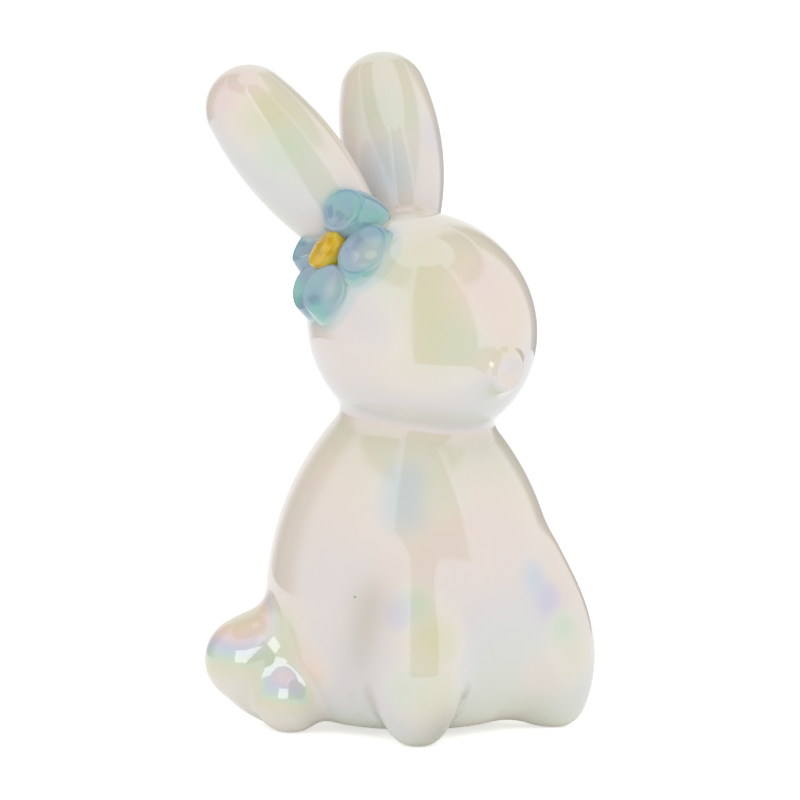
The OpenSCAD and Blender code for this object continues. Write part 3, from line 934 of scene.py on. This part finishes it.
def new_group(name, takes, gives):
    group = bpy.data.node_groups.new(name, "ShaderNodeTree")
    for label, kind, value in takes:
        socket = group.interface.new_socket(label, in_out="INPUT", socket_type="NodeSocket" + kind)
        socket.default_value = value
    for label, kind in gives:
        group.interface.new_socket(label, in_out="OUTPUT", socket_type="NodeSocket" + kind)
    return group, group.nodes.new("NodeGroupInput"), group.nodes.new("NodeGroupOutput")


def give(tree, socket, value):
    """An input gets a value, or the output of another node."""
    if isinstance(value, bpy.types.NodeSocket):
        tree.links.new(value, socket)
    else:
        socket.default_value = value


def add(tree, kind, inputs=(), **settings):
    node = tree.nodes.new("ShaderNode" + kind)
    for key, value in settings.items():
        setattr(node, key, value)
    for key, value in dict(inputs).items():
        give(tree, node.inputs[key], value)
    return node


def maths(tree, operation, *values):
    return add(tree, "Math", enumerate(values), operation=operation).outputs[0]


def times(tree, first, second):
    return maths(tree, "MULTIPLY", first, second)


def plus(tree, first, second):
    return maths(tree, "ADD", first, second)


def minus(tree, first, second):
    return maths(tree, "SUBTRACT", first, second)


def blend(tree, share, first, second):
    """A mix of two colours. Its inputs 0, 6 and 7 are the share and the two colours."""
    return add(tree, "Mix", {0: share, 6: first, 7: second}, data_type="RGBA").outputs[2]


def noise(tree, at, scale, detail, roughness):
    inputs = {"Vector": at, "Scale": scale, "Detail": detail, "Roughness": roughness}
    return add(tree, "TexNoise", inputs).outputs["Fac"]


def kept(tree, name):
    return add(tree, "Attribute", attribute_name=name).outputs["Fac"]


def place_on_object(tree):
    return add(tree, "TexCoord").outputs["Object"]


def ramp(tree, value, stops):
    node = add(tree, "ValToRGB", {0: value})
    while len(node.color_ramp.elements) > 1:
        node.color_ramp.elements.remove(node.color_ramp.elements[-1])
    node.color_ramp.elements[0].position = stops[0][0]
    node.color_ramp.elements[0].color = (*stops[0][1], 1)
    for at, color in stops[1:]:
        node.color_ramp.elements.new(at).color = (*color, 1)
    return node.outputs["Color"]


print("a picture's mid grey is", round(srgb(128, 128, 128)[0], 3), "in a shader")

# %% [markdown]
# The first of two node groups turns the film's two numbers into a pastel colour over the white
# glaze. The angle picks the colour in the row, a cloudy noise lets it drift, and the length
# is the share of the mix. The row closes in a ring, so no seam shows where it starts again.

# %% Pearl lustre
PEARL_COLOURS = {"yellow": (216, 214, 172), "peach": (238, 212, 184), "pink": (232, 206, 200),
                 "lilac": (202, 196, 214), "blue": (188, 206, 214), "green": (198, 218, 186)}


def pearl_group():
    group, given, out = new_group("pearl_lustre", [
        ("Glaze", "Color", (0.8, 0.8, 0.8, 1)), ("Lustre", "Float", 1.0), ("Drift", "Float", 0.06)],
        [("Color", "Color")])
    # The film's pair carries painted sheen as well as the glaze's pearl tint.
    film = add(group, "Attribute", attribute_name="film").outputs["Vector"]
    pair = add(group, "SeparateXYZ", {0: film}).outputs
    angle = maths(group, "DIVIDE", maths(group, "ARCTAN2", pair["Y"], pair["X"]), 2 * math.pi)
    cloud = noise(group, place_on_object(group), 38.0, 3.0, 0.5)
    drift = times(group, minus(group, cloud, 0.5), given.outputs["Drift"])
    angle = maths(group, "FRACT", plus(group, plus(group, angle, drift), 1.0))
    stops = [(PEARL_ROW[name], srgb(*PEARL_COLOURS[name])) for name in PEARL_ROW]
    tint = ramp(group, angle, stops + [(1.0, stops[0][1])])
    strength = add(group, "VectorMath", {0: film}, operation="LENGTH").outputs["Value"]
    share = times(group, strength, given.outputs["Lustre"])
    group.links.new(blend(group, share, given.outputs["Glaze"], tint), out.inputs["Color"])
    return group


pearl_lustre = pearl_group()
print("pearl lustre:", len(pearl_lustre.nodes), "nodes")

# %% [markdown]
# The second group is the surface of any poured glaze: a slow ripple, a fine orange peel and a few
# pinholes, where a bubble burst in the kiln. It gives a height for the bump, the roughness and the
# pinholes themselves, which the material colours a little darker. Its heights are metres.

# %% The surface of a poured glaze
RIPPLE_HIGH, PEEL_HIGH, HOLE_DEEP = 0.00006, 0.0000015, 0.00008
HOLE_ABOVE, HOLE_R, ROUGH_RANGE = 0.93, 0.028, 0.04


def glaze_skin_group():
    group, given, out = new_group("glaze_skin", [
        ("Ripple", "Float", 1.0), ("Peel", "Float", 1.0), ("Roughness", "Float", 0.06)],
        [("Height", "Float"), ("Roughness", "Float"), ("Specks", "Float")])
    at = place_on_object(group)
    slow, fine = noise(group, at, 70.0, 1.0, 0.4), noise(group, at, 420.0, 2.0, 0.5)
    cells = add(group, "TexVoronoi", {"Vector": at, "Scale": 90.0, "Randomness": 1.0})
    chance = add(group, "SeparateColor", {0: cells.outputs["Color"]}).outputs[0]
    hole = times(group, maths(group, "GREATER_THAN", chance, HOLE_ABOVE),
                 maths(group, "LESS_THAN", cells.outputs["Distance"], HOLE_R))
    height = plus(group, times(group, slow, times(group, given.outputs["Ripple"], RIPPLE_HIGH)),
                  times(group, fine, times(group, given.outputs["Peel"], PEEL_HIGH)))
    height = minus(group, height, times(group, hole, HOLE_DEEP))
    rough = plus(group, given.outputs["Roughness"], times(group, minus(group, slow, 0.5), ROUGH_RANGE))
    for label, value in (("Height", height), ("Roughness", rough), ("Specks", hole)):
        group.links.new(value, out.inputs[label])
    return group


glaze_skin = glaze_skin_group()
print("glaze skin:", len(glaze_skin.nodes), "nodes")

# %% [markdown]
# All three glazes share that surface, and a clear coat stands for the gloss over the colour.
# The body's white takes the pearl, partly painted sheen, on top. Painted shade darkens it to olive in the
# join behind the right front leg and low by its paw, the petals' blue bleeds into it, and one pinhole on
# the flank is large enough to have its own place.

# %% White pearl glaze
def plain_material(name):
    made = bpy.data.materials.new(name)
    made.use_nodes = True
    return made, made.node_tree, made.node_tree.nodes["Principled BSDF"]


def glaze(name, roughness, ripple, peel, **sockets):
    """A material with the glaze's surface in place, its tree, its shader and the surface."""
    made, tree, shader = plain_material(name)
    for label, value in sockets.items():
        shader.inputs[label.replace("_", " ")].default_value = value
    skin = add(tree, "Group", node_tree=glaze_skin)
    for label, value in (("Ripple", ripple), ("Peel", peel), ("Roughness", roughness)):
        skin.inputs[label].default_value = value
    bump = add(tree, "Bump", {"Height": skin.outputs["Height"], "Strength": 1.0, "Distance": 1.0})
    tree.links.new(bump.outputs["Normal"], shader.inputs["Normal"])
    tree.links.new(skin.outputs["Roughness"], shader.inputs["Roughness"])
    return made, tree, shader, skin


PINHOLE_AT, PINHOLE_R = (-50.5, -22.9, 56.2), 0.0005


def pearl_material():
    made, tree, shader, skin = glaze("pearl_glaze", 0.05, 1.0, 1.0, IOR=1.9, Coat_Weight=0.5,
                                     Coat_Roughness=0.03, Specular_Tint=(0.5, 0.55, 1.0, 1))
    pearl = add(tree, "Group", node_tree=pearl_lustre)
    pearl.inputs["Glaze"].default_value = (*srgb(226, 220, 203), 1)
    pearl.inputs["Lustre"].default_value = 1.0
    pearl.inputs["Drift"].default_value = 0.12
    color = blend(tree, times(tree, kept(tree, "bleed"), 0.5), pearl.outputs["Color"],
                  (*srgb(168, 205, 204), 1))
    # Painted shade: an olive darkening where the shade patches lie.
    color = blend(tree, kept(tree, "painted_shade"), color, (*srgb(168, 160, 122), 1))
    from_pinhole = add(tree, "VectorMath", {0: place_on_object(tree), 1: to_metres(np.array(PINHOLE_AT))},
                       operation="DISTANCE").outputs["Value"]
    pin = maths(tree, "LESS_THAN", from_pinhole, PINHOLE_R)
    color = blend(tree, times(tree, pin, 0.6), color, (*srgb(120, 110, 95), 1))
    color = blend(tree, times(tree, skin.outputs["Specks"], 0.6), color, (*srgb(150, 138, 120), 1))
    tree.links.new(color, shader.inputs["Base Color"])
    return made


pearl = pearl_material()
for piece in glazed_pieces.values():
    piece.data.materials.append(pearl)
print(pearl.name, "on", len(glazed_pieces), "pieces")

# %% [markdown]
# The petals' blue is a thin wash that varies between grey-blue and sea green. It turns lilac
# towards the middle of the flower and runs out into the white glaze at the foot.

# %% Blue petal glaze
def petal_material():
    made, tree, shader, _ = glaze("petal_glaze", 0.06, 0.8, 1.0, IOR=1.75, Coat_Weight=0.6,
                                  Coat_Roughness=0.03, Specular_Tint=(0.86, 0.86, 1.0, 1))
    wash = noise(tree, place_on_object(tree), 110.0, 2.0, 0.5)
    color = ramp(tree, wash, [(0.36, srgb(132, 164, 180)), (0.5, srgb(130, 174, 182)),
                              (0.64, srgb(126, 184, 174))])
    color = blend(tree, times(tree, kept(tree, "heart"), 0.6), color, (*srgb(158, 160, 184), 1))
    fade = maths(tree, "SMOOTH_MIN", times(tree, kept(tree, "edge"), 0.6), 0.6, 0.1)
    color = blend(tree, fade, color, (*srgb(205, 216, 205), 1))
    tree.links.new(color, shader.inputs["Base Color"])
    return made


blue = petal_material()
for piece in petals:
    piece.data.materials.append(blue)
print(blue.name, "on", len(petals), "petals")

# %% [markdown]
# The yellow of the centre is thicker and more uneven, so its ripple and peel are stronger. It
# turns olive low down, where it runs into the blue.

# %% Yellow centre glaze
def centre_material():
    made, tree, shader, _ = glaze("centre_glaze", 0.07, 1.5, 1.5, IOR=1.6, Coat_Weight=0.5,
                                  Coat_Roughness=0.03)
    wash = noise(tree, place_on_object(tree), 160.0, 2.0, 0.5)
    color = ramp(tree, wash, [(0.36, srgb(196, 156, 22)), (0.5, srgb(214, 174, 24)),
                              (0.66, srgb(206, 184, 36))])
    color = blend(tree, times(tree, kept(tree, "edge"), 0.8), color, (*srgb(150, 150, 70), 1))
    tree.links.new(color, shader.inputs["Base Color"])
    return made


yellow = centre_material()
button.data.materials.append(yellow)
print(yellow.name, "on the centre")

# %% [markdown]
# The figurine stands on a plain white sheet that fills the whole picture. Its paint is a true
# white, and a little of its brightness comes from Is Camera Ray, so the sheet reads as white
# while it still takes the thin shadow under the paws.

# %% Floor
def floor_paint():
    paint, tree, shader = plain_material("floor_paint")
    shader.inputs["Base Color"].default_value = (0.94, 0.94, 0.94, 1)
    shader.inputs["Roughness"].default_value = 0.7
    shader.inputs["Specular IOR Level"].default_value = 0.0
    shader.inputs["Emission Color"].default_value = (1, 1, 1, 1)
    seen = add(tree, "LightPath").outputs["Is Camera Ray"]
    tree.links.new(plus(tree, times(tree, seen, 0.4), 0.15), shader.inputs["Emission Strength"])
    return paint


def staged(name, places, faces, paint):
    """A mesh object of the studio, which is no part of the figurine."""
    mesh = bpy.data.meshes.new(name)
    mesh.from_pydata(places, [], faces)
    thing = bpy.data.objects.new(name, mesh)
    bpy.context.scene.collection.objects.link(thing)
    mesh.materials.append(paint)
    return thing


floor = staged("floor", [(-9, -9, 0), (9, -9, 0), (9, 9, 0), (-9, 9, 0)], [(0, 1, 2, 3)], floor_paint())
print("floor:", [round(v) for v in floor.dimensions], "metres")

# %% [markdown]
# In white surroundings a glossy white piece shows nothing. So grey cards stand round it out of
# sight, as a photographer hangs dark cloth, and only the gloss sees them. Each fades to white at
# its edges, so its reflection has no hard line.

# %% Cards for the reflections
CARD_COLUMNS, CARD_ROWS = 33, 17


def card_paint(name, grey):
    paint, tree, shader = plain_material(name)
    shader.inputs["Base Color"].default_value = (0, 0, 0, 1)
    shader.inputs["Specular IOR Level"].default_value = 0.0
    shader.inputs["Emission Color"].default_value = (1, 1, 1, 1)
    glow = minus(tree, 1.0, times(tree, kept(tree, "cloth"), 1 - grey))
    tree.links.new(glow, shader.inputs["Emission Strength"])
    return paint


def card(name, turn_from, turn_to, radius, low, high, grey, soft):
    """A curved card between two turns and two heights. Its fade takes up a share of its width."""
    across, up = np.meshgrid(np.linspace(0, 1, CARD_COLUMNS), np.linspace(0, 1, CARD_ROWS))
    across, up = across.ravel(), up.ravel()
    a = np.radians(turn_from + (turn_to - turn_from) * across)
    places = np.stack([radius * np.sin(a), axis_y - radius * np.cos(a), low + (high - low) * up], 1)
    corners = [CARD_COLUMNS * r + c for r in range(CARD_ROWS - 1) for c in range(CARD_COLUMNS - 1)]
    quads = [(k, k + 1, k + CARD_COLUMNS + 1, k + CARD_COLUMNS) for k in corners]
    cloth = staged(name, places.tolist(), quads, card_paint(name + "_grey", grey))
    for face in cloth.data.polygons:
        face.use_smooth = True
    from_sides = np.minimum(across, 1 - across)
    inside = np.minimum(from_sides, np.minimum(up + soft if low == 0 else up, 1 - up))
    keep(cloth.data, "cloth", np.clip(inside / soft, 0, 1))
    cloth.visible_camera = cloth.visible_diffuse = cloth.visible_shadow = False


card("front_cloth", -59, 5, 0.34, 0.0, 1.2, 0.12, 0.05)
card("left_cloth", -195, -138, 0.8, 0.0, 1.2, 0.3, 0.3)
card("left_top_cloth", -190, -59, 0.6, 0.72, 1.6, 0.2, 0.12)
card("right_cloth", 90, 124, 0.8, 0.0, 1.2, 0.3, 0.25)
card("right_top_cloth", 5, 120, 0.6, 0.7, 1.6, 0.2, 0.12)

# %% [markdown]
# One large soft box is the main lamp. The gloss also carries two sharp warm glints, on the
# haunch and on the nose. Two small boxes make them, and light linking keeps each on its own
# pieces, so nothing else changes.

# %% Lamps
FIGURE_MIDDLE, WINDOW_YELLOW = (0, 0, 0.12), (1, 0.92, 0.55)


def soft_box(name, turn, rise, distance, width, height, glow, at=FIGURE_MIDDLE, color=(1, 1, 1)):
    """An area lamp that faces a spot, its glow given as the brightness that it shows."""
    lamp = bpy.data.lights.new(name, "AREA")
    lamp.shape, lamp.size, lamp.size_y, lamp.color = "RECTANGLE", width, height, color
    lamp.energy = glow * width * height * math.pi
    holder = bpy.data.objects.new(name, lamp)
    holder.visible_camera = False
    back = towards(turn, rise)
    aim(holder, Vector(at) + Vector((0, axis_y, 0)) + distance * back, back)
    return holder


def only_on(lamp, names):
    lit = bpy.data.collections.new(lamp.name + "_lights")
    for name in names:
        lit.objects.link(glazed_pieces[name])
    lamp.light_linking.receiver_collection = lit
    lamp.visible_diffuse = False


soft_box("key_box", -30, 45, 1.6, 1.2, 1.2, 0.7)
only_on(soft_box("rear_window", -63, 14, 0.25, 0.15, 0.14, 3.2, (-0.058, 0.02, 0.026), WINDOW_YELLOW),
        ["haunch_right", "hind_foot_right"])
only_on(soft_box("nose_window", -60, 17, 0.2, 0.05, 0.06, 3.5, (-0.01, -0.052, 0.144), WINDOW_YELLOW),
        ["nose_stub"])
print("lamps:", [lamp.name for lamp in bpy.data.lights])

# %% [markdown]
# Everything else is white: the world round the figurine. What is seen straight or in a
# reflection is full white, and the light that it sends is a little weaker, which leaves the
# shaded sides of the white glaze their tone.

# %% White world
WORLD_LIGHT = 0.92


def white_world():
    world = bpy.data.worlds.new("studio")
    world.use_nodes = True
    tree = world.node_tree
    path = add(tree, "LightPath").outputs
    mirrored = maths(tree, "MAXIMUM", path["Is Glossy Ray"], path["Is Transmission Ray"])
    straight = maths(tree, "MAXIMUM", path["Is Camera Ray"], mirrored)
    level = plus(tree, WORLD_LIGHT, times(tree, straight, 1 - WORLD_LIGHT))
    background = tree.nodes["Background"]
    background.inputs["Color"].default_value = (1, 1, 1, 1)
    tree.links.new(level, background.inputs["Strength"])
    return world


bpy.context.scene.world = white_world()
bpy.context.scene.view_settings.view_transform = "Standard"
print("world light", WORLD_LIGHT)
